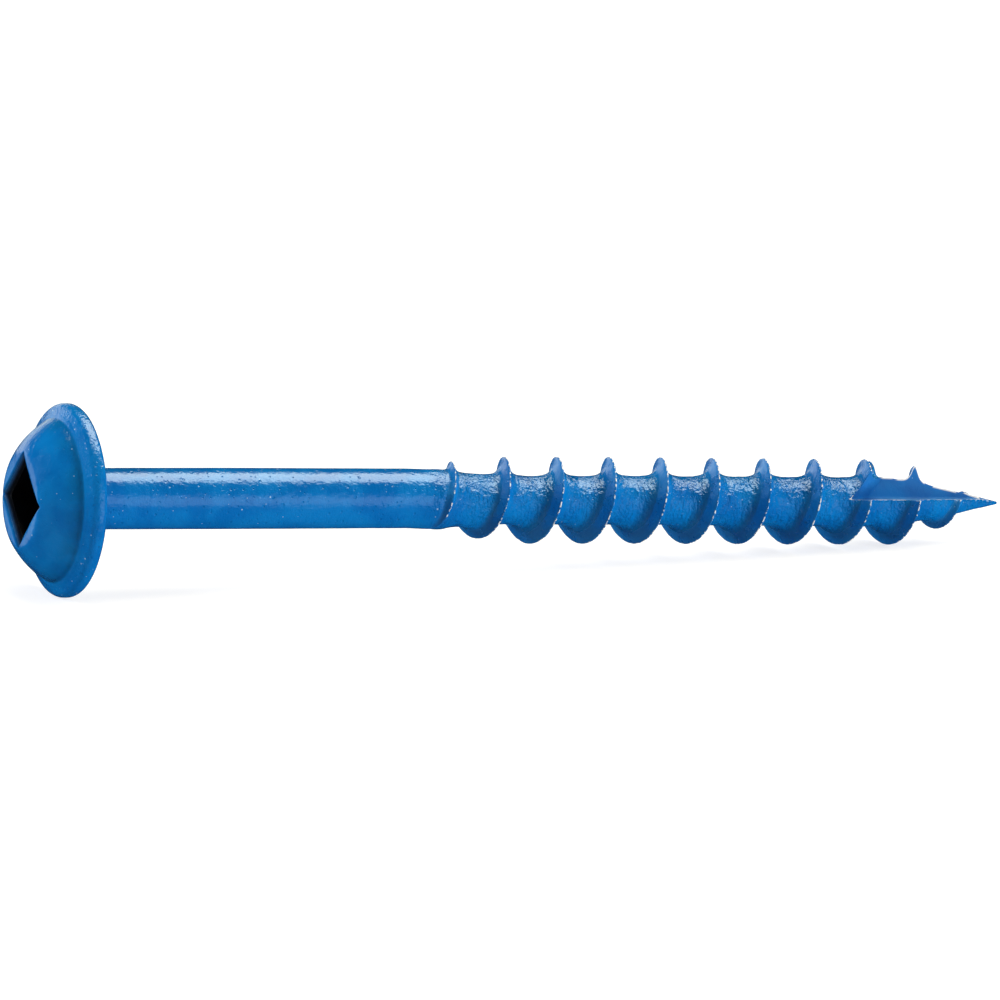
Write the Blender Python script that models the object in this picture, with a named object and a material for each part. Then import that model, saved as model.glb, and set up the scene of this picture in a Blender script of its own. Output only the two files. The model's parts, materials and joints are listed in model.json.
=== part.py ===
"""Pocket hole screw: a washer-head wood screw with a square drive recess, a plain shank,
a coarse thread and a cutting notch in its point. One cold-headed and rolled piece of steel
with a blue coat.

It is drawn upright about local Z: the flange's bearing face is at z = 0, the head is above
it and the point is below it. The screw is then laid down as it comes to rest on z = 0, with
the rim of the flange and one crest of the thread touching. All sizes are in metres.

Around the axis, an angle is measured from local +X, clockwise as seen from the head.
"""

from math import atan2, cos, pi, radians, sin, sqrt, tan

import bmesh
import bpy
from mathutils import Matrix, Vector

# Flange, and the dome on it with its small flat crown
FLANGE_RADIUS = 0.00461
RIM_HEIGHT = 0.00080
RIM_FRONT_ROUND = 0.00024
RIM_BACK_ROUND = 0.00027
FLANGE_LAND = 0.00075
FLANGE_RISE = 0.00022
DOME_RISE = 0.00164
CROWN_RADIUS = 0.00224

# Square drive recess, wider at its mouth where the punch rolled its edges over
RECESS_WIDTH = 0.00260
RECESS_FLARE = 0.00034
RECESS_FLARE_DEPTH = 0.00008
RECESS_DRAFT = radians(2)
RECESS_FLOOR_WALL = 0.00065
RECESS_CORNER_ANGLE = radians(8)

# Shank, the neck below it and the threaded core, which swells a little towards the point
SHANK_RADIUS = 0.00144
SHANK_LENGTH = 0.0192
HEAD_FILLET = 0.00025
NECK_LENGTH = 0.0011
NECK_SHARE = 0.41
SETTLE_LENGTH = 0.0029
CORE_RADIUS = 0.00117
CORE_SWELL = 0.000035

# Point
LENGTH_UNDER_HEAD = 0.0499
POINT_LENGTH = 0.0061
POINT_BULGE = 0.00006
TIP_RADIUS = 0.00006

# Thread: a hand of +1 is right-hand and of -1 left-hand
THREAD_HAND = -1
PITCH = 0.002822
CREST_RADIUS = 0.00211
CREST_WIDTH = 0.00005
THREAD_LEAD = 0.00078
THREAD_START_ANGLE = radians(180)
RIDGE_SINK = 0.00007
LEAST_RIDGE = 0.2

# Half the ridge's section, from its buried foot to the flank: the offset from its middle plane,
# as a share of the pitch, and the height, as a share of the whole
RIDGE_HALF = ((0.397, 0.0), (0.22, 0.178), (0.106, 0.396))

# The crest rises in two steps where the ridge leaves the shank: turns from its start, and the
# rise, as a share of the step from the shank to the full crest
RUN_IN = ((0.0, -0.12), (0.16, 0.42), (0.5, 0.66), (1.0, 0.63), (1.5, 1.0))

# It sinks into the core along the point, slowly at first
RUN_OUT_TO_TIP = 0.0066
RUN_OUT_LENGTH = 0.00475
RUN_OUT_POWER = 2.75

# Cutting notch: a quarter of the point is cut away
NOTCH_TO_TIP = 0.0074
NOTCH_RAMP_ANGLE = radians(37)
NOTCH_FLOOR_OFFSET = 0.00018
NOTCH_WALL_OFFSET = 0.00004
NOTCH_ANGLE = radians(3.5)

# How it lies, turned about its own axis, and how finely its round forms are divided
REST_ROLL = radians(12)
FACETS = 36
DOME_STEPS = 8
ROUND_STEPS = 4
POINT_STEPS = 7
MERGE_DISTANCE = 1e-7
SHARP_EDGE = radians(35)

COAT_BLUE = (0.004, 0.145, 0.470, 1.0)
COAT_ROUGHNESS = 0.36

# What follows from these sizes
DOME_FOOT_RADIUS = FLANGE_RADIUS - FLANGE_LAND
DOME_FOOT_HEIGHT = RIM_HEIGHT + FLANGE_RISE
CROWN_HEIGHT = DOME_FOOT_HEIGHT + DOME_RISE
POINT_START = LENGTH_UNDER_HEAD - POINT_LENGTH
CORE_END_RADIUS = CORE_RADIUS + CORE_SWELL
THREAD_START = SHANK_LENGTH - THREAD_LEAD
RUN_OUT_START = LENGTH_UNDER_HEAD - RUN_OUT_TO_TIP
NOTCH_START = LENGTH_UNDER_HEAD - NOTCH_TO_TIP


def clear_scene():
    for obj in list(bpy.data.objects):
        bpy.data.objects.remove(obj, do_unlink=True)


def arc(centre, radius, start, end, steps):
    """Points (radius from the axis, z) along an arc, both ends included."""
    return [
        (
            centre[0] + radius * cos(start + (end - start) * i / steps),
            centre[1] + radius * sin(start + (end - start) * i / steps),
        )
        for i in range(steps + 1)
    ]


def dome_centre():
    """The height on the axis of the centre of the dome's arc, from its foot and crown edge."""
    across = CROWN_RADIUS**2 - DOME_FOOT_RADIUS**2
    along = CROWN_HEIGHT**2 - DOME_FOOT_HEIGHT**2
    return (across + along) / (2 * DOME_RISE)


def dome_outline():
    """The flat crown, and the dome from its edge down to its foot on the flange."""
    centre = dome_centre()
    top = atan2(CROWN_HEIGHT - centre, CROWN_RADIUS)
    foot = atan2(DOME_FOOT_HEIGHT - centre, DOME_FOOT_RADIUS)
    radius = sqrt(CROWN_RADIUS**2 + (CROWN_HEIGHT - centre) ** 2)
    return [(0.0, CROWN_HEIGHT)] + arc((0.0, centre), radius, top, foot, DOME_STEPS)


def flange_outline():
    """The flange's sloping front, its rounded rim and its flat bearing face."""
    slope = atan2(FLANGE_RISE, FLANGE_LAND)
    front_round = min(RIM_FRONT_ROUND, RIM_HEIGHT / 2)
    back_round = min(RIM_BACK_ROUND, RIM_HEIGHT / 2)
    front = (FLANGE_RADIUS - front_round, RIM_HEIGHT - front_round)
    back = (FLANGE_RADIUS - back_round, back_round)
    rim = arc(front, front_round, pi / 2 - slope, 0.0, ROUND_STEPS)
    return rim + arc(back, back_round, 0.0, -pi / 2, ROUND_STEPS)


def core_outline():
    """The shank, the neck, the threaded core and the start of the point, as (radius, z)."""
    neck = SHANK_LENGTH + NECK_LENGTH
    neck_radius = CORE_RADIUS + NECK_SHARE * (SHANK_RADIUS - CORE_RADIUS)
    return [
        (SHANK_RADIUS, -SHANK_LENGTH),
        (neck_radius, -neck),
        (CORE_RADIUS, -(neck + SETTLE_LENGTH)),
        (CORE_END_RADIUS, -POINT_START),
    ]


def point_radius(share):
    """The point's radius at a share of its length: a cone, slightly bulged."""
    return CORE_END_RADIUS + (TIP_RADIUS - CORE_END_RADIUS) * share + POINT_BULGE * sin(pi * share)


def point_outline():
    """The point below its shoulder, down to its rounded tip on the axis."""
    straight = POINT_LENGTH - TIP_RADIUS
    sides = [
        (point_radius(i / POINT_STEPS), -(POINT_START + straight * i / POINT_STEPS))
        for i in range(1, POINT_STEPS + 1)
    ]
    middle = (TIP_RADIUS * sin(pi / 4), -(LENGTH_UNDER_HEAD - TIP_RADIUS * (1 - cos(pi / 4))))
    return sides + [middle, (0.0, -LENGTH_UNDER_HEAD)]


def core_radius(z):
    """The radius of the bare core at a height z, from the same outline as the blank."""
    outline = [(SHANK_RADIUS, 0.0)] + core_outline() + point_outline()
    for (upper_r, upper_z), (lower_r, lower_z) in zip(outline, outline[1:]):
        if z >= lower_z:
            share = (upper_z - z) / (upper_z - lower_z)
            return upper_r + (lower_r - upper_r) * share
    return 0.0


def at_angle(radius, angle, z):
    """A point round the axis, with the angle clockwise as seen from the head."""
    return Vector((radius * cos(angle), -radius * sin(angle), z))


def new_object(name, bm):
    bmesh.ops.recalc_face_normals(bm, faces=bm.faces)
    mesh = bpy.data.meshes.new(name)
    bm.to_mesh(mesh)
    bm.free()
    obj = bpy.data.objects.new(name, mesh)
    bpy.context.scene.collection.objects.link(obj)
    return obj


def make_blank():
    """The headed blank before its thread: one outline, spun round the axis."""
    centre = (SHANK_RADIUS + HEAD_FILLET, -HEAD_FILLET)
    fillet = arc(centre, HEAD_FILLET, pi / 2, pi, ROUND_STEPS)
    outline = dome_outline() + flange_outline() + fillet + core_outline() + point_outline()
    bm = bmesh.new()
    # A facet, not an edge, faces the floor
    phase = pi + REST_ROLL + pi / FACETS
    vertices = [bm.verts.new(at_angle(radius, phase, z)) for radius, z in outline]
    edges = [bm.edges.new(pair) for pair in zip(vertices, vertices[1:])]
    bmesh.ops.spin(
        bm,
        geom=vertices + edges,
        cent=(0, 0, 0),
        axis=(0, 0, 1),
        angle=2 * pi,
        steps=FACETS,
        use_merge=True,
    )
    bmesh.ops.remove_doubles(bm, verts=bm.verts, dist=MERGE_DISTANCE)
    return new_object("screw", bm)


def crest_radius(turns, z):
    """The crest's radius: it rises in steps from the shank and sinks into the point."""
    for (start, low), (end, high) in zip(RUN_IN, RUN_IN[1:]):
        if turns < end:
            share = low + (high - low) * (turns - start) / (end - start)
            return SHANK_RADIUS + (CREST_RADIUS - SHANK_RADIUS) * share
    if -z < RUN_OUT_START:
        return CREST_RADIUS
    fallen = ((-z - RUN_OUT_START) / RUN_OUT_LENGTH) ** RUN_OUT_POWER
    full = CREST_RADIUS - core_radius(-RUN_OUT_START)
    return core_radius(z) + full - (full + RIDGE_SINK / 2) * fallen


def ridge_section(turns):
    """One section across the thread's ridge, as (radius, z) from its upper foot to its lower."""
    z = -(THREAD_START + PITCH * turns)
    crest = crest_radius(turns, z)
    size = (crest - core_radius(z) + RIDGE_SINK) / (CREST_RADIUS - CORE_RADIUS)
    width = PITCH * min(1.0, max(LEAST_RIDGE, size))

    def point(offset, share):
        foot = min(core_radius(z + offset), crest) - RIDGE_SINK
        return (foot + (crest - foot) * share, z + offset)

    upper = [point(offset * width, share) for offset, share in RIDGE_HALF]
    crown = [point(side * CREST_WIDTH / 2, 1.0) for side in (1, -1)]
    lower = [point(-offset * width, share) for offset, share in reversed(RIDGE_HALF)]
    return upper + crown + lower


def make_ridge():
    """The thread's ridge: its section, carried down a helix and closed at both ends."""
    last = int((RUN_OUT_START + RUN_OUT_LENGTH - THREAD_START) / PITCH * FACETS)
    bm = bmesh.new()
    sections = []
    for i in range(last + 1):
        turns = i / FACETS
        angle = THREAD_START_ANGLE + THREAD_HAND * 2 * pi * turns
        sections.append([bm.verts.new(at_angle(r, angle, z)) for r, z in ridge_section(turns)])
    for above, below in zip(sections, sections[1:]):
        for k, corner in enumerate(above):
            nxt = (k + 1) % len(above)
            bm.faces.new((corner, above[nxt], below[nxt], below[k]))
    bm.faces.new(sections[0])
    bm.faces.new(sections[-1])
    return new_object("thread_ridge", bm)


def square_ring(bm, width, z, angle):
    """Four corners of a square round the axis, the first at this angle."""
    reach = width / sqrt(2)
    return [bm.verts.new(at_angle(reach, angle + pi / 2 * i, z)) for i in range(4)]


def make_recess_cutter():
    """The punch that forms the recess: a tapered square with a flared mouth."""
    mouth_width = RECESS_WIDTH + 2 * RECESS_FLARE
    mouth_reach = mouth_width / sqrt(2)
    centre = dome_centre()
    dome_height = centre + sqrt(CROWN_RADIUS**2 + (CROWN_HEIGHT - centre) ** 2 - mouth_reach**2)
    mouth = min(CROWN_HEIGHT, dome_height)
    throat = mouth - RECESS_FLARE_DEPTH
    floor_width = RECESS_WIDTH - 2 * (throat - RECESS_FLOOR_WALL) * tan(RECESS_DRAFT)
    above_crown = CROWN_HEIGHT - throat
    flare = 2 * RECESS_FLARE / RECESS_FLARE_DEPTH
    bm = bmesh.new()
    rings = [
        square_ring(bm, floor_width, RECESS_FLOOR_WALL, RECESS_CORNER_ANGLE),
        square_ring(bm, RECESS_WIDTH, throat, RECESS_CORNER_ANGLE),
        square_ring(
            bm,
            mouth_width + flare * above_crown,
            mouth + above_crown,
            RECESS_CORNER_ANGLE,
        ),
    ]
    for below, above in zip(rings, rings[1:]):
        for i in range(4):
            nxt = (i + 1) % 4
            bm.faces.new((below[i], below[nxt], above[nxt], above[i]))
    bm.faces.new(rings[0])
    bm.faces.new(rings[-1])
    return new_object("recess_cutter", bm)


def make_notch_cutter():
    """The block that leaves the notch: a floor along the axis, a wall and a ramp at its end."""
    reach = 2 * CREST_RADIUS
    near = NOTCH_WALL_OFFSET + reach
    beyond_tip = LENGTH_UNDER_HEAD + reach
    outline = (
        (NOTCH_WALL_OFFSET, -NOTCH_START),
        (NOTCH_WALL_OFFSET, -beyond_tip),
        (near, -beyond_tip),
        (near, -(NOTCH_START - reach / tan(NOTCH_RAMP_ANGLE))),
    )
    turn = Matrix.Rotation(-NOTCH_ANGLE, 4, "Z")
    bm = bmesh.new()
    floor = [bm.verts.new(turn @ Vector((NOTCH_FLOOR_OFFSET, -side, z))) for side, z in outline]
    face = bm.faces.new(floor)
    raised = bmesh.ops.extrude_face_region(bm, geom=[face])["geom"]
    moved = [item for item in raised if isinstance(item, bmesh.types.BMVert)]
    bmesh.ops.translate(bm, verts=moved, vec=turn @ Vector((reach, 0, 0)))
    return new_object("notch_cutter", bm)


def add_boolean(obj, other, operation):
    other.hide_render = True
    other.display_type = "WIRE"
    modifier = obj.modifiers.new(other.name, "BOOLEAN")
    modifier.operation = operation
    modifier.solver = "EXACT"
    modifier.object = other


def coat_material():
    material = bpy.data.materials.new("blue_coat")
    material.use_nodes = True
    shader = material.node_tree.nodes["Principled BSDF"]
    shader.inputs["Base Color"].default_value = COAT_BLUE
    shader.inputs["Roughness"].default_value = COAT_ROUGHNESS
    shader.inputs["Metallic"].default_value = 0.0
    return material


def lying_pose(blank, ridge):
    """The move that lays the upright screw on z = 0 with its point towards +X."""
    lay = Matrix.Rotation(-pi / 2, 4, "Y") @ Matrix.Rotation(REST_ROLL, 4, "Z")
    blank_points = [lay @ vertex.co for vertex in blank.vertices]
    ridge_points = [lay @ vertex.co for vertex in ridge.vertices]
    rim = min(blank_points, key=lambda p: p.z)
    slope = min((p.z - rim.z) / (p.x - rim.x) for p in ridge_points)
    tilt = Matrix.Rotation(atan2(slope, 1.0), 4, "Y")
    placed = [tilt @ p for p in blank_points + ridge_points]
    low = Vector([min(p[i] for p in placed) for i in range(3)])
    high = Vector([max(p[i] for p in placed) for i in range(3)])
    middle = (low + high) / 2
    return Matrix.Translation((-middle.x, -middle.y, -low.z)) @ tilt @ lay


clear_scene()
screw = make_blank()
ridge = make_ridge()
recess = make_recess_cutter()
notch = make_notch_cutter()
add_boolean(screw, ridge, "UNION")
add_boolean(screw, recess, "DIFFERENCE")
add_boolean(screw, notch, "DIFFERENCE")
screw.data.materials.append(coat_material())
screw.data.shade_smooth()
screw.data.set_sharp_from_angle(angle=SHARP_EDGE)
pose = lying_pose(screw.data, ridge.data)
for item in (screw, ridge, recess, notch):
    item.matrix_world = pose
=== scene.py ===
import json
from math import atan, cos, pi, radians, sin, sqrt, tan

import bmesh
import bpy
import numpy as np
from mathutils import Matrix, Vector, noise


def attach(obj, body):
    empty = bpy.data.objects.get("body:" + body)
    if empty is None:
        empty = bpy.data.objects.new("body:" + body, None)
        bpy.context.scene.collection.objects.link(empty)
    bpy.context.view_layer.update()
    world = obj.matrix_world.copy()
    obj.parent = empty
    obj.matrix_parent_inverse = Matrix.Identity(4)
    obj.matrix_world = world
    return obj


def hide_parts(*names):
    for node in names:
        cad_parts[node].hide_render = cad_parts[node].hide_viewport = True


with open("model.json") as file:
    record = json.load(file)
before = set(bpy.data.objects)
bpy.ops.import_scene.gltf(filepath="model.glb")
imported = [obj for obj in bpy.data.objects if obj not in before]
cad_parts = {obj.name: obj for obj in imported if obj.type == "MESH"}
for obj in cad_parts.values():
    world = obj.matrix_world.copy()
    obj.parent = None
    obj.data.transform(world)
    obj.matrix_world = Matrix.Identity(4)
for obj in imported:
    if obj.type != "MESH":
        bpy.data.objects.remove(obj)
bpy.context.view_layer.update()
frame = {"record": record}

# Head
# The real head is cold-formed in one blow from the end of the steel wire: a dome with a flat
# crown on a thin round flange. The punch that forms the square recess rolls its edge over. Here
# it is rings that start as squares in the recess and become circles on the dome.

# Sizes are in millimetres, with height along the axis towards the head, from the bearing face
MM = 0.001
SEGMENTS = 160
CROWN_HEIGHT = 2.66
CROWN_RADIUS = 2.24
CROWN_SOFTNESS = 0.07
DOME_FOOT_RADIUS = 3.865
DOME_FOOT_HEIGHT = 1.02
FOOT_SOFTNESS = 0.06
FLANGE_RADIUS = 4.61
RIM_HEIGHT = 0.80
RIM_FRONT_ROUND = 0.40
RIM_BACK_ROUND = 0.27
HEAD_FILLET = 0.25
SHANK_RADIUS = 1.444
SHANK_TAPER = 0.022
GROOVE_RADIUS = 3.87
GROOVE_WIDTH = 0.085
GROOVE_DEPTH = 0.05
DOME_ROUND_FROM = 2.80
MOUTH_TO_ROUND_STEPS = 12
DOME_STEPS = 34
RIM_STEPS = 8
BEARING_FACE_SHARES = (0.3, 0.6, 0.85, 1.0)
FILLET_STEPS = 5

# A square's squareness is the power of its outline: 2 is a circle, and a high one has sharp corners
RECESS_CORNER_ANGLE = radians(8)
RECESS_HALF_WIDTH = 1.30
RECESS_FLOOR_HALF_WIDTH = 1.235
RECESS_FLOOR_RINGS = ((0.3, 2.5), (0.6, 5), (0.85, 12))
FLOOR_CORNER = 0.10
FLOOR_CORNER_STEPS = 3
WALL_STEPS = 8
THROAT_DEPTH = 0.30
THROAT_SQUARENESS = 26
MOUTH_HALF_WIDTH = 1.65
MOUTH_SQUARENESS = 60
MOUTH_CORNER_PULL = 0.04
MOUTH_CORNER_SHARPNESS = 6
DISH_POWER = 1.35
LIP_SHARES = (0.05, 0.15, 0.30, 0.45, 0.60, 0.72, 0.82, 0.90, 0.96, 1.0)
LIP_SOFTNESS = 0.025
LIP_EDGE = 0.015

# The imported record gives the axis: the bearing face and the recess's floor lie across it
seats = {mount["name"]: mount for mount in frame["record"]["mounts"]}
to_point = Vector(seats["bearing_face"]["axis"]).normalized()
on_bearing_face = Vector(seats["bearing_face"]["pos_m"])
on_recess_floor = Vector(seats["recess_floor"]["pos_m"])
floor_wall = (on_bearing_face - on_recess_floor).dot(to_point)
recess_floor = floor_wall / MM

dome_rise = CROWN_HEIGHT - DOME_FOOT_HEIGHT
dome_spread = DOME_FOOT_RADIUS**2 - CROWN_RADIUS**2
dome_centre = (CROWN_HEIGHT + DOME_FOOT_HEIGHT - dome_spread / dome_rise) / 2
dome_radius = sqrt(CROWN_RADIUS**2 + (CROWN_HEIGHT - dome_centre) ** 2)
flange_front = FLANGE_RADIUS - RIM_FRONT_ROUND
rim_slope = (DOME_FOOT_HEIGHT - RIM_HEIGHT) / (flange_front - DOME_FOOT_RADIUS)

angles = RECESS_CORNER_ANGLE + np.arange(SEGMENTS) * 2 * pi / SEGMENTS
from_side = angles - RECESS_CORNER_ANGLE - pi / 4


def ring(radius, height):
    """One closed row of points round the axis, clockwise as seen from the head."""
    radius = radius + np.zeros(SEGMENTS)
    height = height + np.zeros(SEGMENTS)
    return np.stack([radius * np.cos(angles), -radius * np.sin(angles), height], axis=1)


def soft_max(first, second, softness):
    """The higher of two heights, rounded where they cross."""
    return (first + second + np.sqrt((first - second) ** 2 + softness**2)) / 2


def square_radius(half_width, squareness):
    """How far a rounded square's side is from the axis, all the way round."""
    sides = np.abs(np.cos(from_side)) ** squareness + np.abs(np.sin(from_side)) ** squareness
    return half_width / sides ** (1 / squareness)


def mouth_radius():
    """The recess's mouth: a square whose corners the punch has drawn a little further out."""
    corner = np.abs(np.sin(2 * from_side)) ** MOUTH_CORNER_SHARPNESS
    return square_radius(MOUTH_HALF_WIDTH, MOUTH_SQUARENESS) + MOUTH_CORNER_PULL * corner


def head_height(radius):
    """The height of the head's outer surface: crown, dome and the flange's sloping front."""
    dome = dome_centre + np.sqrt(np.maximum(dome_radius**2 - radius**2, 0.0))
    flange = DOME_FOOT_HEIGHT - rim_slope * (radius - DOME_FOOT_RADIUS)
    top = -soft_max(-dome, -CROWN_HEIGHT + np.zeros_like(radius), CROWN_SOFTNESS)
    groove = GROOVE_DEPTH * np.exp(-(((radius - GROOVE_RADIUS) / GROOVE_WIDTH) ** 2))
    return soft_max(top, flange, FOOT_SOFTNESS) - groove


def recess_rings():
    """From near the middle of the recess's floor, up its walls and over its rolled lip."""
    rows = []
    for share, squareness in RECESS_FLOOR_RINGS:
        rows.append(ring(square_radius(RECESS_FLOOR_HALF_WIDTH * share, squareness), recess_floor))
    for step in range(FLOOR_CORNER_STEPS + 1):
        turn = pi / 2 * step / FLOOR_CORNER_STEPS
        half_width = RECESS_FLOOR_HALF_WIDTH - FLOOR_CORNER * (1 - sin(turn))
        height = recess_floor + FLOOR_CORNER * (1 - cos(turn))
        rows.append(ring(square_radius(half_width, THROAT_SQUARENESS), height))
    throat = CROWN_HEIGHT - THROAT_DEPTH
    bottom = recess_floor + FLOOR_CORNER
    for step in range(1, WALL_STEPS + 1):
        share = step / WALL_STEPS
        half_width = RECESS_FLOOR_HALF_WIDTH + (RECESS_HALF_WIDTH - RECESS_FLOOR_HALF_WIDTH) * share
        height = bottom + (throat - bottom) * share
        rows.append(ring(square_radius(half_width, THROAT_SQUARENESS), height))
    inner = square_radius(RECESS_HALF_WIDTH, THROAT_SQUARENESS)
    mouth = mouth_radius()
    top = head_height(mouth)
    for share in LIP_SHARES:
        fall = (top - throat) * (1 - share**DISH_POWER)
        radius = inner + (mouth - inner) * share
        rows.append(ring(radius, -soft_max(fall - top, -top, LIP_SOFTNESS)))
    return rows


def dome_rings():
    """From the square mouth out to the round dome, and down it to the flange's front."""
    rows = []
    start = mouth_radius() + LIP_EDGE
    for step in range(1, MOUTH_TO_ROUND_STEPS + 1):
        share = step / MOUTH_TO_ROUND_STEPS
        radius = start + (DOME_ROUND_FROM - start) * share
        rows.append(ring(radius, head_height(radius)))
    for step in range(1, DOME_STEPS):
        radius = DOME_ROUND_FROM + (flange_front - DOME_ROUND_FROM) * step / DOME_STEPS
        radius = np.full(SEGMENTS, radius)
        rows.append(ring(radius, head_height(radius)))
    return rows


def rim_rings():
    """Round the flange's rim, in along its bearing face and down the fillet to the shank."""
    rows = []
    start = pi / 2 - atan(rim_slope)
    for step in range(RIM_STEPS + 1):
        turn = start * (1 - step / RIM_STEPS)
        radius = flange_front + RIM_FRONT_ROUND * cos(turn)
        rows.append(ring(radius, RIM_HEIGHT - RIM_FRONT_ROUND + RIM_FRONT_ROUND * sin(turn)))
    flange_back = FLANGE_RADIUS - RIM_BACK_ROUND
    for step in range(RIM_STEPS + 1):
        turn = -pi / 2 * step / RIM_STEPS
        radius = flange_back + RIM_BACK_ROUND * cos(turn)
        rows.append(ring(radius, RIM_BACK_ROUND + RIM_BACK_ROUND * sin(turn)))
    inner = SHANK_RADIUS + SHANK_TAPER + HEAD_FILLET
    for share in BEARING_FACE_SHARES:
        rows.append(ring(flange_back + (inner - flange_back) * share, 0.0))
    for step in range(1, FILLET_STEPS + 1):
        turn = pi / 2 * step / FILLET_STEPS
        rows.append(ring(inner - HEAD_FILLET * sin(turn), HEAD_FILLET * (cos(turn) - 1)))
    return rows


# Shank, thread and point
# The shank is the bare steel wire. Below it the wire is rolled between dies, which press a root
# and raise a thin ridge from it, so the root is hollow and lumpy and the crest is thin and
# ragged. The thread's rows follow its helix, so that the crest stays a clean line.

# Depths are below the bearing face
THREAD_HAND = -1
PITCH = 2.822
THREAD_START = 18.42
THREAD_START_ANGLE = pi
ROOT_RADIUS = 1.13
ROOT_SWELL = 0.035
CREST_RADIUS = 2.11
RIDGE_WIDTH = 0.232
LEAST_RIDGE_WIDTH = 0.35
LEAST_CREST_RISE = 0.08
RUN_IN_TURNS = (-0.02, 0.0, 0.16, 0.5, 1.0, 1.5)
RUN_IN_CREST = (0.0, 1.40, 1.72, 1.88, 1.86, CREST_RADIUS)
RUN_OUT_START = 43.3
RUN_OUT_LENGTH = 4.75
RUN_OUT_POWER = 2.75
SHANK_TAPER_FROM = 7.0
SHANK_TAPER_LENGTH = 10.5
SHANK_END = 18.95
NECK_RADIUS = 1.28
NECK_END = 20.2
SETTLE_END = 23.2
POINT_START = 43.8
POINT_END = 49.9
POINT_BULGE = 0.06
TIP_RADIUS = 0.06
HELIX_FROM = 17.9
ROWS_A_TURN = 34
ROW_CROWDING = 1.7
SHANK_ROW_SPACING = 0.25
WELD_DISTANCE = 1e-7

# A burr has a depth, half a length, a rise, a direction round the axis and half an angle
NOTCH_BURR_RISE = 0.64
NOTCH_BURR = (42.90, 0.14, NOTCH_BURR_RISE, radians(-12), radians(17))
POINT_BURR = (48.06, 0.24, 0.11, radians(-18), radians(26))
BURR_SQUARENESS = 4


def smooth_step(value):
    """An even ramp from 0 to 1, with soft ends."""
    value = np.clip(value, 0.0, 1.0)
    return value * value * (3 - 2 * value)


def core_radius(depth):
    """The bare wire's radius at a depth below the bearing face, without the ridge."""
    neck = smooth_step((depth - SHANK_END) / (NECK_END - SHANK_END))
    settle = smooth_step((depth - NECK_END) / (SETTLE_END - NECK_END))
    swell = np.clip((depth - SETTLE_END) / (POINT_START - SETTLE_END), 0.0, 1.0)
    wire = SHANK_RADIUS - (SHANK_RADIUS - NECK_RADIUS) * neck - (NECK_RADIUS - ROOT_RADIUS) * settle
    wire = wire + ROOT_SWELL * swell
    share = np.clip((depth - POINT_START) / (POINT_END - POINT_START), 0.0, 1.0)
    cone = wire * (1 - share) + POINT_BULGE * np.sin(pi * share)
    left = np.clip(POINT_END - depth, 0.0, TIP_RADIUS)
    nose = np.sqrt(np.maximum(TIP_RADIUS**2 - (TIP_RADIUS - left) ** 2, 0.0))
    point = np.maximum(cone, 0.0) + nose * (1 - cone / ROOT_RADIUS)
    return np.where(depth > POINT_START, point, wire)


def ridge_rise(turns):
    """How far the crest stands above the core, by the turns from the thread's start."""
    depth = THREAD_START + PITCH * turns
    run_in = np.interp(turns, RUN_IN_TURNS, RUN_IN_CREST)
    full = CREST_RADIUS - ROOT_RADIUS - ROOT_SWELL
    rising = np.clip(run_in - core_radius(depth), 0.0, None)
    fallen = np.clip((depth - RUN_OUT_START) / RUN_OUT_LENGTH, 0.0, 1.0) ** RUN_OUT_POWER
    falling = full * (1 - fallen)
    return np.where(turns < 0, 0.0, np.where(depth < RUN_OUT_START, rising, falling))


def thread_radius(angle, depth):
    """The radius of the threaded surface: the core, each ridge near a point, and the burrs."""
    first = (THREAD_HAND * (angle - THREAD_START_ANGLE)) / (2 * pi)
    nearest = np.round((depth - THREAD_START) / PITCH - first)
    radius = core_radius(depth)
    full = CREST_RADIUS - ROOT_RADIUS
    for neighbour in (-1, 0, 1):
        turns = first + nearest + neighbour
        offset = depth - THREAD_START - PITCH * turns
        height = ridge_rise(turns)
        width = RIDGE_WIDTH * (LEAST_RIDGE_WIDTH + (1 - LEAST_RIDGE_WIDTH) * height / full)
        radius = radius + height / (1 + (offset / width) ** 2)
    for burr_depth, half_length, rise, direction, half_angle in (NOTCH_BURR, POINT_BURR):
        aside = (angle - direction + pi) % (2 * pi) - pi
        along = ((depth - burr_depth) / half_length) ** BURR_SQUARENESS
        radius = radius + rise * np.exp(-along - (aside / half_angle) ** BURR_SQUARENESS)
    return radius


def ridge_share(angle, depth):
    """How near a point is to its ridge's crest: 1 on the crest and 0 far from it."""
    first = (THREAD_HAND * (angle - THREAD_START_ANGLE)) / (2 * pi)
    turns = first + np.round((depth - THREAD_START) / PITCH - first)
    offset = depth - THREAD_START - PITCH * turns
    return (ridge_rise(turns) > LEAST_CREST_RISE) / (1 + (offset / RIDGE_WIDTH) ** 2)


def shank_rings():
    """From below the head's fillet to where the thread's rows begin."""
    rows = []
    count = int((HELIX_FROM - HEAD_FILLET) / SHANK_ROW_SPACING)
    for step in range(1, count):
        depth = HEAD_FILLET + (HELIX_FROM - HEAD_FILLET) * step / count
        taper = SHANK_TAPER * (1 - smooth_step((depth - SHANK_TAPER_FROM) / SHANK_TAPER_LENGTH))
        rows.append(ring(SHANK_RADIUS + taper, -depth))
    return rows


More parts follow.
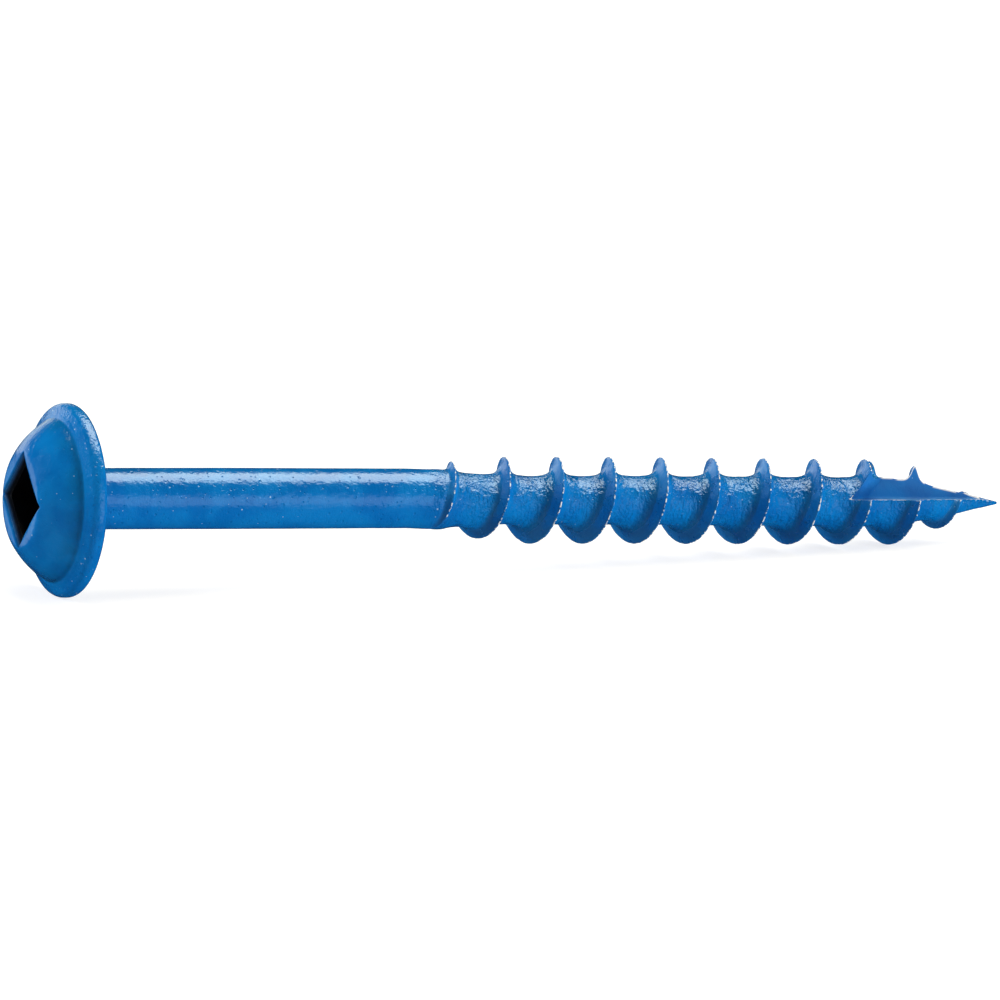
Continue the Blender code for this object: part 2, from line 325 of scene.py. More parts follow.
def helix_rows():
    """Rows along the helix, from the ring at the shank's end to the tip."""
    half = ROWS_A_TURN // 2
    places = np.arange(1 - half, half + 1) / half
    offsets = PITCH / 2 * np.sign(places) * np.abs(places) ** ROW_CROWDING
    lead = PITCH * (angles - angles[0]) / (2 * pi)
    crest = THREAD_START + PITCH * THREAD_HAND * (angles[0] - THREAD_START_ANGLE) / (2 * pi)
    first = int(np.floor((HELIX_FROM - crest) / PITCH))
    last = int(np.ceil((POINT_END + PITCH - crest) / PITCH))
    rows = []
    for turn in range(first, last + 1):
        for offset in offsets:
            depth = crest + PITCH * turn + offset + THREAD_HAND * lead
            depth = np.clip(depth, HELIX_FROM, POINT_END)
            rows.append(ring(thread_radius(angles, depth), -depth))
    return rows


def quads_between(rows, shift):
    """Quads between rows. The last column meets the first, this many rows further on."""
    quads = []
    for row in range(len(rows) - 1):
        for column in range(SEGMENTS - 1):
            a = row * SEGMENTS + column
            quads.append((a, a + 1, a + 1 + SEGMENTS, a + SEGMENTS))
        onward = row + shift
        if 0 <= onward < len(rows) - 1:
            a = (row + 1) * SEGMENTS - 1
            b = onward * SEGMENTS
            quads.append((a, b, b + SEGMENTS, a + SEGMENTS))
    return quads


def fan(first_index, centre_index):
    """Triangles from one ring to a point in its middle."""
    return [
        (centre_index, first_index + i, first_index + (i + 1) % SEGMENTS) for i in range(SEGMENTS)
    ]


def new_mesh(name, points, faces):
    """A mesh in metres from points in millimetres, with points at the same place made one."""
    mesh = bpy.data.meshes.new(name)
    mesh.from_pydata((np.asarray(points) * MM).tolist(), [], faces)
    bm = bmesh.new()
    bm.from_mesh(mesh)
    bmesh.ops.remove_doubles(bm, verts=bm.verts, dist=WELD_DISTANCE)
    bmesh.ops.delete(bm, geom=[v for v in bm.verts if not v.link_faces], context="VERTS")
    bmesh.ops.recalc_face_normals(bm, faces=bm.faces)
    bm.to_mesh(mesh)
    bm.free()
    return mesh


def linked(name, data):
    """A new object in the scene."""
    made = bpy.data.objects.new(name, data)
    bpy.context.scene.collection.objects.link(made)
    return made


round_rows = recess_rings() + dome_rings() + rim_rings() + shank_rings()
round_rows.append(ring(core_radius(np.full(SEGMENTS, HELIX_FROM)), -HELIX_FROM))
thread_rows = helix_rows()
floor_centre = np.array([[0.0, 0.0, recess_floor]])
screw_points = np.concatenate(round_rows + thread_rows + [floor_centre])
first_thread_point = len(round_rows) * SEGMENTS
screw_faces = quads_between(round_rows, 0)
for quad in quads_between(thread_rows, THREAD_HAND * ROWS_A_TURN):
    screw_faces.append(tuple(first_thread_point + i for i in quad))
screw_faces += fan(0, len(screw_points) - 1)
screw = linked("blue_screw", new_mesh("screw_skin", screw_points, screw_faces))

# Cutting notch
# On the real screw a quarter of the steel point is milled away after the thread is rolled, so
# that the thread's cut ends scrape the wood. The cutter leaves a small round in the notch's
# inner corner. Here a block of its form is cut from the screw.
NOTCH_START = 42.5
NOTCH_RAMP_ANGLE = radians(37)
NOTCH_FLOOR_OFFSET = 0.18
NOTCH_WALL_OFFSET = 0.04
NOTCH_ANGLE = radians(3.5)
NOTCH_ROUND = 0.12
NOTCH_ROUND_STEPS = 4
NOTCH_SLANT = 0.9
NOTCH_REACH = 4.2
NOTCH_GRID = 0.1
SLICE_TOLERANCE = 1e-8

notch_turn = Matrix.Rotation(-NOTCH_ANGLE, 3, "Z")


def divided(mesh):
    """Slices the cutter's faces into small squares, for the cut edges' wear and painted highlight.
    """
    slices = (
        (
            notch_turn @ Vector((1, 0, 0)),
            NOTCH_FLOOR_OFFSET + NOTCH_ROUND,
            CREST_RADIUS + NOTCH_BURR_RISE,
        ),
        (notch_turn @ Vector((0, -1, 0)), NOTCH_WALL_OFFSET + NOTCH_ROUND, CREST_RADIUS),
        (Vector((0, 0, -1)), NOTCH_START - CREST_RADIUS / tan(NOTCH_RAMP_ANGLE), POINT_END),
    )
    bm = bmesh.new()
    bm.from_mesh(mesh)
    for across, start, end in slices:
        for offset in np.arange(start + NOTCH_GRID, end, NOTCH_GRID):
            bmesh.ops.bisect_plane(
                bm,
                geom=bm.verts[:] + bm.edges[:] + bm.faces[:],
                plane_co=across * float(offset) * MM,
                plane_no=across,
                dist=SLICE_TOLERANCE,
            )
    bm.to_mesh(mesh)
    bm.free()
    return mesh


def notch_cutter():
    """The block that leaves the notch: a floor, a wall, the round between them and a ramp."""
    levels = []
    for step in range(NOTCH_ROUND_STEPS + 1):
        turn = pi / 2 * step / NOTCH_ROUND_STEPS
        level = NOTCH_FLOOR_OFFSET + NOTCH_ROUND * (1 - cos(turn))
        levels.append((level, NOTCH_ROUND * (1 - sin(turn))))
    levels.append((NOTCH_FLOOR_OFFSET + NOTCH_REACH, 0.0))
    far = NOTCH_WALL_OFFSET + NOTCH_REACH
    points = []
    for level, inward in levels:
        wall = NOTCH_WALL_OFFSET + inward
        start = NOTCH_START + inward + NOTCH_SLANT * (level - NOTCH_FLOOR_OFFSET)
        corners = (
            (wall, start),
            (wall, POINT_END + NOTCH_REACH),
            (far, POINT_END + NOTCH_REACH),
            (far, start - NOTCH_REACH / tan(NOTCH_RAMP_ANGLE)),
        )
        for side, depth in corners:
            points.append(notch_turn @ Vector((level, -side, -depth)))
    count = len(corners)
    faces = [tuple(range(count)), tuple(range(len(points) - count, len(points)))]
    for row in range(len(levels) - 1):
        for i in range(count):
            a = row * count + i
            b = row * count + (i + 1) % count
            faces.append((a, b, b + count, a + count))
    return linked("notch_cutter", divided(new_mesh("notch_cutter", points, faces)))


cutter = notch_cutter()
notch_cut = screw.modifiers.new("notch", "BOOLEAN")
notch_cut.operation = "DIFFERENCE"
notch_cut.solver = "EXACT"
notch_cut.object = cutter
cut_screw = screw.evaluated_get(bpy.context.evaluated_depsgraph_get())
mesh = bpy.data.meshes.new_from_object(cut_screw)
screw.modifiers.clear()
bpy.data.objects.remove(cutter)
screw.data = mesh

# Surface
# Rolling leaves real wire a little bent, its thread's roots lumpy and its crests ragged, and the
# forming of the head leaves it softly dented. Each point keeps its place on the perfect screw,
# with what kind of place it is, for the coat below.
BEND_DEPTHS = (-3.0, 0.0, 0.8, 9.0, 17.5, 19.5, 30.0, 40.0, 50.0)
BEND_RISES = (0.0, 0.0, 0.087, 0.112, 0.131, 0.055, 0.055, 0.01, -0.03)
SHARP_EDGE = radians(38)
NOTCH_TOLERANCE = 0.004

# Lumps have a wavelength across the screw, one along it and a height
ROOT_LUMPS = ((0.42, 0.42, 0.016), (0.20, 0.20, 0.006), (0.60, 0.13, 0.007))
SHANK_LUMPS = ((1.20, 1.20, 0.0040), (0.45, 0.45, 0.0015), (0.25, 1.60, 0.0012))
HEAD_LUMPS = ((1.10, 1.10, 0.0060), (0.40, 0.40, 0.0016))
CREST_NICKS = ((0.45, 0.45, 0.014), (0.16, 0.16, 0.010))
CREST_NICK_POWER = 3
LUMP_LOSS_AT_CREST = 0.7
LUMP_SHIFT = 17.3
THREAD_LEAD_IN = 0.5
TIP_FADE_RADIUS = 0.4

# The painted shade inside the recess darkens over this depth, from a little above the crown
RECESS_SHADE_FROM = 0.02
RECESS_SHADE_DEPTH = 0.26
MOUTH_TOLERANCE = 0.02

bearing_centre = on_recess_floor + to_point * floor_wall
up = (on_bearing_face - bearing_centre).normalized()
near = to_point.cross(up)
screw_axes = Matrix((up, -near, -to_point)).transposed().to_4x4()
screw_axes.translation = bearing_centre


def lumps(points, sizes):
    """Smooth random heights. Each size gives a wavelength across, one along and a height."""
    heights = np.zeros(len(points))
    for seed, (across, along, rise) in enumerate(sizes):
        scaled = points / np.array((across, across, along)) + LUMP_SHIFT * (seed + 1)
        heights += rise * np.array([noise.noise(Vector(p)) for p in scaled])
    return heights


def read_vectors(items, name):
    flat = np.empty(len(items) * 3)
    items.foreach_get(name, flat)
    return flat.reshape(-1, 3)


def write_attribute(name, kind, domain, values):
    attribute = mesh.attributes.new(name, kind, domain)
    field = "vector" if kind == "FLOAT_VECTOR" else "value"
    attribute.data.foreach_set(field, np.ravel(values))


def notch_points(points):
    """Which points lie on the notch's cut faces."""
    across = points @ np.array(Matrix.Rotation(NOTCH_ANGLE, 3, "Z")).T
    level, side, depth = across[:, 0], -across[:, 1], -across[:, 2]
    start = NOTCH_START + NOTCH_SLANT * (level - NOTCH_FLOOR_OFFSET)
    ramp = (depth - start) * sin(NOTCH_RAMP_ANGLE)
    ramp = ramp + (side - NOTCH_WALL_OFFSET) * cos(NOTCH_RAMP_ANGLE)
    into_wall = np.minimum(side - NOTCH_WALL_OFFSET, ramp)
    inside = np.minimum(into_wall, level - NOTCH_FLOOR_OFFSET)
    return (inside > -NOTCH_TOLERANCE) & (depth > NOTCH_START - NOTCH_REACH)


place = read_vectors(mesh.vertices, "co") / MM
normal = read_vectors(mesh.vertices, "normal")
depth = -place[:, 2]
angle = np.arctan2(-place[:, 1], place[:, 0])
radius = np.hypot(place[:, 0], place[:, 1])
in_notch = notch_points(place)

threaded = smooth_step(depth - THREAD_START + THREAD_LEAD_IN)
bare_wire = core_radius(np.maximum(depth, 0.0))
crest = threaded * np.clip((radius - bare_wire) / (CREST_RADIUS - ROOT_RADIUS), 0.0, 1.0)
in_head = smooth_step((HEAD_FILLET - depth) / HEAD_FILLET)
on_shank = (1 - threaded) * (1 - in_head)
fade_at_tip = np.clip(radius / TIP_FADE_RADIUS, 0.0, 1.0)
relief = in_head * lumps(place, HEAD_LUMPS) + on_shank * lumps(place, SHANK_LUMPS)
relief += threaded * (1 - LUMP_LOSS_AT_CREST * crest) * lumps(place, ROOT_LUMPS)
relief += crest**CREST_NICK_POWER * lumps(place, CREST_NICKS)
moved = place + normal * (relief * fade_at_tip * ~in_notch)[:, None]
moved[:, 0] += np.interp(depth, BEND_DEPTHS, BEND_RISES)

side_angle = angle - RECESS_CORNER_ANGLE - pi / 4
square_distance = radius * np.maximum(np.abs(np.cos(side_angle)), np.abs(np.sin(side_angle)))
below_lip = smooth_step((CROWN_HEIGHT + RECESS_SHADE_FROM - place[:, 2]) / RECESS_SHADE_DEPTH)
in_mouth = (square_distance < MOUTH_HALF_WIDTH + MOUTH_TOLERANCE) * (radius < CROWN_RADIUS)
cut_depth = np.clip(thread_radius(angle, depth) - radius, 0.0, 1.0) * in_notch
is_cut = np.array([all(in_notch[v] for v in face.vertices) for face in mesh.polygons])

axes = np.array(screw_axes)
mesh.vertices.foreach_set("co", ((moved * MM) @ axes[:3, :3].T + axes[:3, 3]).ravel())
write_attribute("place", "FLOAT_VECTOR", "POINT", place)
write_attribute("crest", "FLOAT", "POINT", ridge_share(angle, depth) * threaded)
# Where the inside of the recess is painted with nearly black painted shade
write_attribute("recess_shade_paint", "FLOAT", "POINT", below_lip * in_mouth * (depth < 0))
write_attribute("cut_edge", "FLOAT", "POINT", in_notch.astype(float))
write_attribute("cut_depth", "FLOAT", "POINT", cut_depth)
write_attribute("cut_face", "FLOAT", "FACE", is_cut.astype(float))
mesh.update()
mesh.shade_smooth()
mesh.set_sharp_from_angle(angle=SHARP_EDGE)
for face, flat in zip(mesh.polygons, is_cut):
    if flat:
        face.use_smooth = False

# Blue coat
# The real coat is a thin blue lacquer with metallic pigment over zinc, tumbled on, so it follows
# the wire's ripples and has pinholes and pale specks. It is worn through along the crest. Along the
# cut edges its bare line is partly wear and partly a painted highlight. The inside of the recess
# is painted nearly black as painted shade, and the groove at the dome's foot has painted shade.
COAT_BLUE_DEEP = (0.0, 0.130, 0.445, 1.0)
COAT_BLUE_LIGHT = (0.0, 0.172, 0.52, 1.0)
# Bare steel: wear on the crest, and on the cut's edges partly wear and partly a painted highlight
BARE_STEEL_AND_EDGE_GLINT = (0.80, 0.80, 0.80, 1.0)
PALE_SPECK = (0.36, 0.52, 0.70, 1.0)
# Painted shade: dark blue patches in the groove at the dome's foot
PAINTED_FOOT_SHADE = (0.0, 0.075, 0.17, 1.0)
# Painted shade: the nearly black inside of the recess
PAINTED_RECESS_SHADE = (0.0005, 0.0015, 0.004, 1.0)
COAT_METALLIC = 0.2
COAT_IOR = 1.9

# Waves have a wavelength across the screw, one along it and a detail, and heights are in
# millimetres. A ramp goes from its first value to its second: from 0 to 1, or from its third to
# its fourth.
SKIN_WAVES = (0.30, 0.30, 3.0)
SKIN_HEIGHT = 0.029
GRAIN_WAVES = (0.09, 0.09, 2.0)
GRAIN_HEIGHT = 0.010
WRINKLE_WAVES = (0.50, 0.15, 1.0)
WRINKLE_HEIGHT = 0.090
WRINKLE_PATCH_WAVES = (1.3, 0.9, 1.0)
WRINKLE_PATCHES = (0.42, 0.60, 0.4, 1.0)
GRIT_WAVES = (0.18, 0.18, 2.0)
GRIT_HEIGHT = 0.098
GRIT_PATCH_WAVES = (0.9, 0.9, 1.0)
GRIT_PATCHES = (0.35, 0.58, 0.5, 1.0)
RIM_DENT_WAVES = (0.26, 0.26, 2.0)
RIM_DENT_HEIGHT = 0.040
RIM_GRAIN_WAVES = (0.11, 0.11, 1.0)
RIM_GRAIN_HEIGHT = 0.016
THREADED_PART = (-18.0, -19.2)
ROOT_PART = (0.45, 0.12)
RIM_TOP = (1.0, 0.75)
RIM_BOTTOM = (0.0, 0.2)

# Dots have a spacing, a radius and the share of the places that have one
LARGE_PITS = (0.40, 0.095, 0.48)
SMALL_PITS = (0.20, 0.055, 0.30)
PIT_DEPTH = 0.024
PITS_UP_THE_DOME = (0.9, 0.6, 0.35, 1.0)
LARGE_SPECKS = (0.55, 0.055, 0.16)
SMALL_SPECKS = (0.30, 0.035, 0.16)
RIM_SPECKS = (0.26, 0.07, 0.6)
RIM_SPECKS_FROM = (4.22, 4.30)
RIM_SPECKS_TO = (4.42, 4.36)
DOT_FADE = 0.7

WEAR_WAVES = (0.17, 0.17, 3.0)
WORN_CREST = (0.968, 0.990)
WORN_PATCHES = (0.51, 0.56)
CUT_LINE = (0.45, 0.75)
CUT_LINE_PATCHES = (0.46, 0.54)
CUT_BORDER_WAVES = (0.9, 0.9, 2.0)
CUT_BORDER_PATCHES = (0.46, 0.52)
CUT_BORDER_DEPTH = (0.10, 0.03)
NOTCH_FLOOR_PART = (0.36, 0.28)
PAST_THE_RAMP = (-43.1, -43.4)
FOOT_FROM = (3.2, 3.8)
FOOT_TO = (3.95, 3.88)
FOOT_HEIGHTS = (0.7, 0.9)
FOOT_WAVES = (1.4, 1.4, 3.0)
FOOT_PATCHES = (0.35, 0.6, 0.05, 0.38)
TONE_WAVES = (1.6, 1.6, 3.0)
TONE_COLOURS = (0.35, 0.65)
TONE_ROUGHNESS = (0.3, 0.7, 0.13, 0.18)
CREST_MATT = (0.1, 0.5, 0.0, 0.12)
CUT_FACE_MATT = 0.60
BARE_MATT = 0.30


def node(tree, kind, inputs=None, **settings):
    """A new node. Its inputs are set to values, or linked where the value is a socket."""
    made = tree.nodes.new(kind)
    for name, value in settings.items():
        setattr(made, name, value)
    for name, value in (inputs or {}).items():
        if isinstance(value, bpy.types.NodeSocket):
            tree.links.new(value, made.inputs[name])
        else:
            made.inputs[name].default_value = value
    return made


def maths(tree, operation, *values):
    inputs = dict(enumerate(values))
    return node(tree, "ShaderNodeMath", inputs, operation=operation).outputs["Value"]


def ramp_in(tree, value, low, high, to_low=0.0, to_high=1.0):
    """A smooth ramp of a value from one range to another."""
    inputs = {"Value": value, "From Min": low, "From Max": high, "To Min": to_low, "To Max": to_high}
    made = node(tree, "ShaderNodeMapRange", inputs, interpolation_type="SMOOTHSTEP")
    return made.outputs["Result"]


def blend(tree, factor, first, second):
    """One colour over another, by a factor."""
    inputs = {"Factor": factor, "A": first, "B": second}
    return node(tree, "ShaderNodeMix", inputs, data_type="RGBA").outputs["Result"]


def effect(name, inputs, outputs):
    """A node group with named inputs and outputs, and its two ends."""
    group = bpy.data.node_groups.new(name, "ShaderNodeTree")
    for label, kind, value in inputs:
        socket = group.interface.new_socket(label, in_out="INPUT", socket_type=kind)
        if value is not None:
            socket.default_value = value
    for label, kind in outputs:
        group.interface.new_socket(label, in_out="OUTPUT", socket_type=kind)
    return group, group.nodes.new("NodeGroupInput"), group.nodes.new("NodeGroupOutput")


def ripple_effect():
    """Random ripples with their own wavelength across and along the screw. Height is 0 to 1."""
    group, start, end = effect(
        "ripples",
        (
            ("Place", "NodeSocketVector", None),
            ("Wavelengths", "NodeSocketVector", (1.0, 1.0, 1.0)),
            ("Detail", "NodeSocketFloat", 2.0),
        ),
        (("Height", "NodeSocketFloat"),),
    )
    inputs = {0: start.outputs["Place"], 1: start.outputs["Wavelengths"]}
    scaled = node(group, "ShaderNodeVectorMath", inputs, operation="DIVIDE").outputs["Vector"]
    inputs = {"Vector": scaled, "Scale": 1.0, "Detail": start.outputs["Detail"]}
    wave = node(group, "ShaderNodeTexNoise", inputs)
    group.links.new(wave.outputs["Fac"], end.inputs["Height"])
    return group


def dot_effect():
    """Scattered round dots. Mask is 1 in a dot's middle; Share is how many cells have one."""
    group, start, end = effect(
        "dots",
        (
            ("Place", "NodeSocketVector", None),
            ("Spacing", "NodeSocketFloat", 1.0),
            ("Radius", "NodeSocketFloat", 0.1),
            ("Share", "NodeSocketFloat", 0.5),
        ),
        (("Mask", "NodeSocketFloat"),),
    )
    scale = maths(group, "DIVIDE", 1.0, start.outputs["Spacing"])
    inputs = {"Vector": start.outputs["Place"], "Scale": scale}
    cells = node(group, "ShaderNodeTexVoronoi", inputs)
    away = maths(group, "MULTIPLY", cells.outputs["Distance"], start.outputs["Spacing"])
    nearness = maths(group, "SUBTRACT", 1.0, maths(group, "DIVIDE", away, start.outputs["Radius"]))
    chance = node(group, "ShaderNodeSeparateColor", {"Color": cells.outputs["Color"]})
    kept = maths(group, "LESS_THAN", chance.outputs["Red"], start.outputs["Share"])
    mask = maths(group, "MULTIPLY", ramp_in(group, nearness, 0.0, DOT_FADE), kept)
    group.links.new(mask, end.inputs["Mask"])
    return group


ripples = ripple_effect()
dots = dot_effect()
coat = bpy.data.materials.new("blue_coat")
coat.use_nodes = True
coat_tree = coat.node_tree
coat_shader = coat_tree.nodes["Principled BSDF"]


def mark(name, output="Fac"):
    """What the mesh says of each point, such as how near it is to the crest."""
    return node(coat_tree, "ShaderNodeAttribute", attribute_name=name).outputs[output]


def ripple(across, along, detail):
    inputs = {"Place": where, "Wavelengths": (across, across, along), "Detail": detail}
    return node(coat_tree, "ShaderNodeGroup", inputs, node_tree=ripples).outputs["Height"]


def scatter(spacing, radius, share):
    inputs = {"Place": where, "Spacing": spacing, "Radius": radius, "Share": share}
    return node(coat_tree, "ShaderNodeGroup", inputs, node_tree=dots).outputs["Mask"]


def ramp(value, *ends):
    return ramp_in(coat_tree, value, *ends)


def times(first, second):
    return maths(coat_tree, "MULTIPLY", first, second)


def plus(first, second):
    return maths(coat_tree, "ADD", first, second)


def less(first, second):
    return maths(coat_tree, "SUBTRACT", first, second)


def times_plus(first, second, third):
    return maths(coat_tree, "MULTIPLY_ADD", first, second, third)


def larger(first, second):
    return maths(coat_tree, "MAXIMUM", first, second)


def over(under, mask, colour):
    return blend(coat_tree, mask, under, colour)


where = mark("place", "Vector")
parts_of_place = node(coat_tree, "ShaderNodeSeparateXYZ", {"Vector": where})
level = parts_of_place.outputs["X"]
along_axis = parts_of_place.outputs["Z"]
inputs = {0: where, 1: (1.0, 1.0, 0.0)}
level_place = node(coat_tree, "ShaderNodeVectorMath", inputs, operation="MULTIPLY")
inputs = {0: level_place.outputs["Vector"]}
from_axis = node(coat_tree, "ShaderNodeVectorMath", inputs, operation="LENGTH").outputs["Value"]
recess_shade_mask = mark("recess_shade_paint")
cut_face = mark("cut_face")
rolled_face = less(1.0, cut_face)
crest_share = times(mark("crest"), rolled_face)
in_root = times(times(ramp(along_axis, *THREADED_PART), ramp(crest_share, *ROOT_PART)), rolled_face)
on_rim = times(ramp(along_axis, *RIM_TOP), ramp(along_axis, *RIM_BOTTOM))

# Relief: the skin all over, wrinkles and grit in the thread's root, pits, and dents on the rim
skin = times(ripple(*SKIN_WAVES), SKIN_HEIGHT)
grain = times(ripple(*GRAIN_WAVES), GRAIN_HEIGHT)
wrinkle = times(ripple(*WRINKLE_WAVES), WRINKLE_HEIGHT)
wrinkle = times(wrinkle, ramp(ripple(*WRINKLE_PATCH_WAVES), *WRINKLE_PATCHES))
grit = times(ripple(*GRIT_WAVES), GRIT_HEIGHT)
grit = times(grit, ramp(ripple(*GRIT_PATCH_WAVES), *GRIT_PATCHES))
pit = times(plus(scatter(*LARGE_PITS), scatter(*SMALL_PITS)), rolled_face)
pit = times(pit, ramp(along_axis, *PITS_UP_THE_DOME))
rim_dent = times(ripple(*RIM_DENT_WAVES), RIM_DENT_HEIGHT)
rim_dent = times_plus(ripple(*RIM_GRAIN_WAVES), RIM_GRAIN_HEIGHT, rim_dent)
coat_relief = plus(plus(skin, grain), times(in_root, plus(wrinkle, grit)))
coat_relief = times_plus(pit, -PIT_DEPTH, coat_relief)
coat_relief = times_plus(on_rim, rim_dent, coat_relief)
bump = node(coat_tree, "ShaderNodeBump", {"Height": coat_relief, "Distance": MM, "Strength": 1.0})

# Wear and a painted highlight: dashes worn along the crest, and the cut's edges off its ramp, partly
# worn and partly a painted highlight
patchy = ripple(*WEAR_WAVES)
worn_line = times(ramp(crest_share, *WORN_CREST), ramp(patchy, *WORN_PATCHES))
cut_line = ramp(less(mark("cut_edge"), cut_face), *CUT_LINE)
cut_line = times(cut_line, ramp(patchy, *CUT_LINE_PATCHES))
cut_border = times(cut_face, ramp(ripple(*CUT_BORDER_WAVES), *CUT_BORDER_PATCHES))
cut_border = times(cut_border, ramp(mark("cut_depth"), *CUT_BORDER_DEPTH))
off_ramp = larger(ramp(level, *NOTCH_FLOOR_PART), ramp(along_axis, *PAST_THE_RAMP))
# The bare mask: worn dashes on the crest, and the cut's edges, which are partly a painted highlight
bare = larger(worn_line, times(larger(cut_border, cut_line), off_ramp))

# Colour: the blue's tone, painted shade in the dome's foot, specks, painted shade in the recess, and
# bare steel that on the cut's edges is partly a painted highlight
tone = ripple(*TONE_WAVES)
# Painted shade in the groove at the dome's foot, in patches
foot_shade_mask = times(ramp(from_axis, *FOOT_FROM), ramp(from_axis, *FOOT_TO))
foot_shade_mask = times(foot_shade_mask, ramp(along_axis, *FOOT_HEIGHTS))
foot_shade_mask = times(foot_shade_mask, ramp(ripple(*FOOT_WAVES), *FOOT_PATCHES))
by_rim = times(ramp(from_axis, *RIM_SPECKS_FROM), ramp(from_axis, *RIM_SPECKS_TO))
speck = plus(scatter(*LARGE_SPECKS), scatter(*SMALL_SPECKS))
speck = times_plus(by_rim, scatter(*RIM_SPECKS), speck)
colour = over(COAT_BLUE_DEEP, ramp(tone, *TONE_COLOURS), COAT_BLUE_LIGHT)
colour = over(colour, foot_shade_mask, PAINTED_FOOT_SHADE)
colour = over(colour, speck, PALE_SPECK)
# Painted shade: the inside of the recess is painted nearly black
colour = over(colour, recess_shade_mask, PAINTED_RECESS_SHADE)
# Bare steel over worn crest dashes, and a partly painted highlight on the cut's edges
colour = over(colour, bare, BARE_STEEL_AND_EDGE_GLINT)

matt = ramp(crest_share, *CREST_MATT)
matt = times_plus(cut_face, CUT_FACE_MATT, matt)
matt = times_plus(larger(bare, recess_shade_mask), BARE_MATT, matt)
roughness = plus(matt, ramp(tone, *TONE_ROUGHNESS))

coat_tree.links.new(colour, coat_shader.inputs["Base Color"])
coat_tree.links.new(roughness, coat_shader.inputs["Roughness"])
coat_tree.links.new(bump.outputs["Normal"], coat_shader.inputs["Normal"])
coat_shader.inputs["Metallic"].default_value = COAT_METALLIC
coat_shader.inputs["IOR"].default_value = COAT_IOR
screw.data.materials.append(coat)

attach(screw, "root")
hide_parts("screw")

# Camera
# A long lens on the screw's near side, turned so that it also sees the head's recess. Its picture
# lies along the screw's axis, apart from a slight roll, with the screw across its middle.
CAMERA_TURN = radians(25.37)
CAMERA_ROLL = 0.00197
CAMERA_RISE = 0.06
CAMERA_DISTANCE = 400.0
TARGET_DEPTH = 22.445
FOCAL_PIXELS = 8244
IMAGE_PIXELS = 1000
SENSOR_WIDTH = 36.0
CLIP_NEAR = 0.01
CLIP_FAR = 20.0

target = bearing_centre + (to_point * TARGET_DEPTH + up * CAMERA_RISE) * MM
forward = (sin(CAMERA_TURN) * to_point - cos(CAMERA_TURN) * near).normalized()
right = (forward.cross(up).normalized() + up * CAMERA_ROLL).normalized()
lens = bpy.data.cameras.new("camera")
lens.sensor_width = SENSOR_WIDTH
lens.lens = SENSOR_WIDTH * FOCAL_PIXELS / IMAGE_PIXELS
lens.clip_start = CLIP_NEAR
lens.clip_end = CLIP_FAR
camera = linked("camera", lens)
camera_axes = Matrix((right, right.cross(forward), -forward)).transposed().to_4x4()
camera_axes.translation = target - forward * CAMERA_DISTANCE * MM
camera.matrix_world = camera_axes
bpy.context.scene.camera = camera
bpy.context.scene.view_settings.view_transform = "Standard"

# Floor
# A sheet of plain pale paper under the screw, which shows the screw's shadow. It glows for the
# camera, so that it shows white, and faintly for light that bounces between it and the screw. It
# doesn't block the lamp below it, and the coat's gloss doesn't show it.
FLOOR_HALF_SIZE = 0.45
FLOOR_GREY = (0.37, 0.37, 0.37, 1.0)
FLOOR_GREY_IN_BOUNCE = (0.40, 0.40, 0.40, 1.0)
FLOOR_GLOW = 0.71
FLOOR_GLOW_IN_BOUNCE = 0.20
WHITE = (1.0, 1.0, 1.0, 1.0)

floor_corners = ((-1, -1), (1, -1), (1, 1), (-1, 1))
floor_points = [(x * FLOOR_HALF_SIZE, y * FLOOR_HALF_SIZE, 0.0) for x, y in floor_corners]
floor_mesh = bpy.data.meshes.new("floor")
floor_mesh.from_pydata(floor_points, [], [(0, 1, 2, 3)])
floor = linked("floor", floor_mesh)
floor.visible_shadow = False
floor.visible_glossy = False

paper = bpy.data.materials.new("pale_paper")
paper.use_nodes = True
paper_tree = paper.node_tree
paper_shader = paper_tree.nodes["Principled BSDF"]
to_camera = node(paper_tree, "ShaderNodeLightPath").outputs["Is Camera Ray"]
in_bounce = node(paper_tree, "ShaderNodeLightPath").outputs["Is Diffuse Ray"]
glow = maths(paper_tree, "MULTIPLY", to_camera, FLOOR_GLOW)
glow = maths(paper_tree, "MULTIPLY_ADD", in_bounce, FLOOR_GLOW_IN_BOUNCE, glow)
grey = blend(paper_tree, in_bounce, FLOOR_GREY, FLOOR_GREY_IN_BOUNCE)
paper_tree.links.new(grey, paper_shader.inputs["Base Color"])
paper_tree.links.new(glow, paper_shader.inputs["Emission Strength"])
paper_shader.inputs["Emission Color"].default_value = WHITE
paper_shader.inputs["Roughness"].default_value = 1.0
paper_shader.inputs["Specular IOR Level"].default_value = 0.0
floor_mesh.materials.append(paper)

# Light
# Two softboxes overhead, a strip in front, a pale sheet behind and a card at the far side show
# in the coat's gloss. Five fills light it without showing there. The room is dim, and shows
# white only to the camera.
NEUTRAL = (1.0, 1.0, 1.0)
WARM = (1.0, 1.0, 0.80)
AMBER = (1.0, 0.89, 0.58)
ROOM_LIGHT = 0.33
ROOM_IN_REFLECTIONS = 0.01
ROOM_TO_CAMERA = 1.0


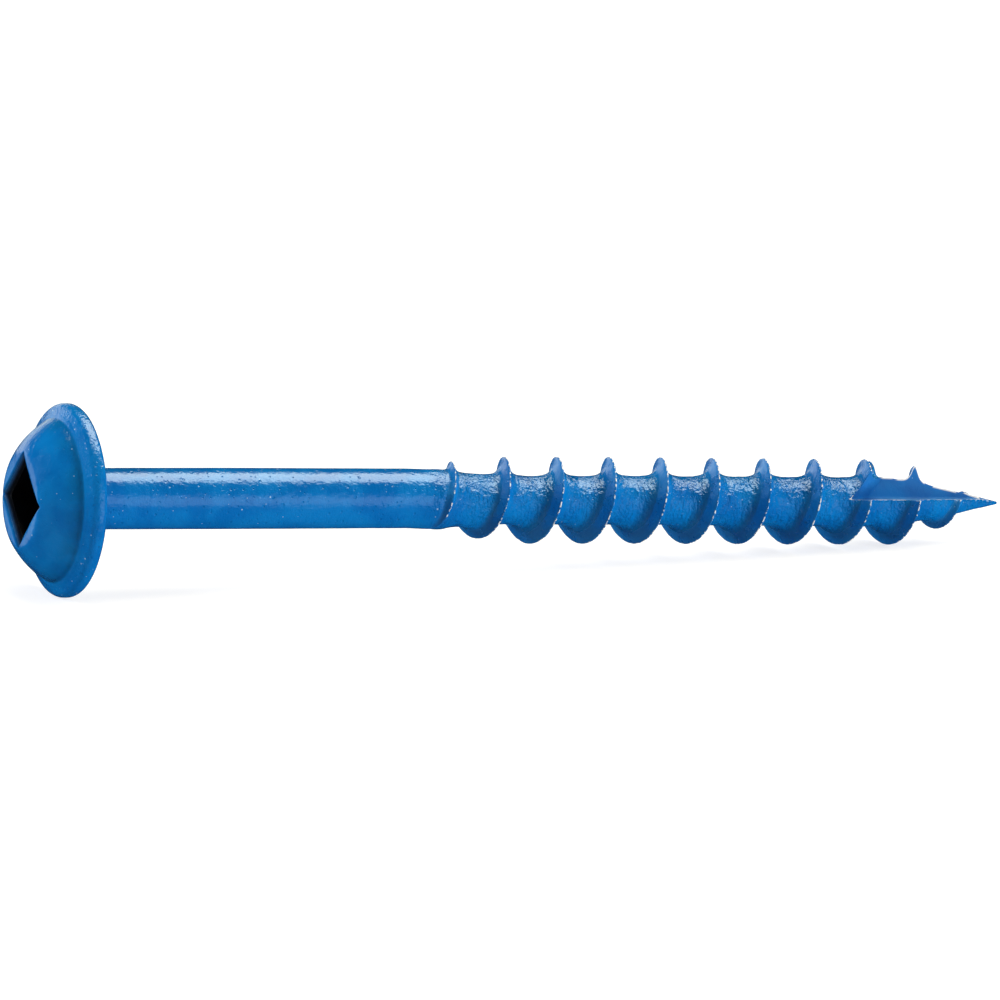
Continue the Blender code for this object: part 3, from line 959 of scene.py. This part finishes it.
def softbox(name, centre, width, height, radiance, colour=NEUTRAL, in_reflections=True):
    """An area light that faces the screw. The centre is along (point, up, near), in metres."""
    light = bpy.data.lights.new(name, "AREA")
    light.shape = "RECTANGLE"
    light.size = width
    light.size_y = height
    light.energy = radiance * pi * width * height
    light.color = colour
    lamp = linked(name, light)
    offset = to_point * centre[0] + up * centre[1] + near * centre[2]
    back = offset.normalized()
    across = (to_point - back * to_point.dot(back)).normalized()
    lamp_axes = Matrix((across, back.cross(across), back)).transposed().to_4x4()
    lamp_axes.translation = target + offset
    lamp.matrix_world = lamp_axes
    lamp.visible_camera = False
    lamp.visible_glossy = in_reflections


softbox("overhead_softbox", (0.166, 0.35, 0.012), 0.22, 0.30, 4.0, AMBER)
softbox("overhead_reach", (-0.012, 0.36, 0.012), 0.14, 0.28, 4.0, AMBER)
softbox("front_strip", (0.38, -0.13, 0.8), 0.5, 0.52, 0.5, WARM)
softbox("pale_backdrop", (-0.05, 0.175, -0.5), 0.5, 0.14, 1.0, WARM)
softbox("far_card", (-0.26, 0.02, -0.45), 0.18, 0.20, 0.55, WARM)
softbox("front_fill", (0.52, 0.25, 0.72), 0.12, 0.6, 24.0, in_reflections=False)
softbox("under_fill", (0.48, -0.60, 0.48), 0.12, 0.6, 24.5, in_reflections=False)
softbox("head_fill", (-1.0, -0.1, 0.0), 0.06, 0.06, 84.0, in_reflections=False)
softbox("back_fill", (-0.78, 0.42, -0.38), 0.5, 0.5, 13.0, in_reflections=False)
softbox("top_fill", (0.25, 0.75, 0.10), 0.5, 0.5, 0.3, in_reflections=False)

room = bpy.data.worlds.new("room")
room.use_nodes = True
bpy.context.scene.world = room
room_tree = room.node_tree
background = room_tree.nodes["Background"]
background.inputs["Color"].default_value = WHITE
ray = node(room_tree, "ShaderNodeLightPath")
inputs = {"Factor": ray.outputs["Is Glossy Ray"], "A": ROOM_LIGHT, "B": ROOM_IN_REFLECTIONS}
strength = node(room_tree, "ShaderNodeMix", inputs).outputs["Result"]
inputs = {"Factor": ray.outputs["Is Camera Ray"], "A": strength, "B": ROOM_TO_CAMERA}
strength = node(room_tree, "ShaderNodeMix", inputs).outputs["Result"]
room_tree.links.new(strength, background.inputs["Strength"])
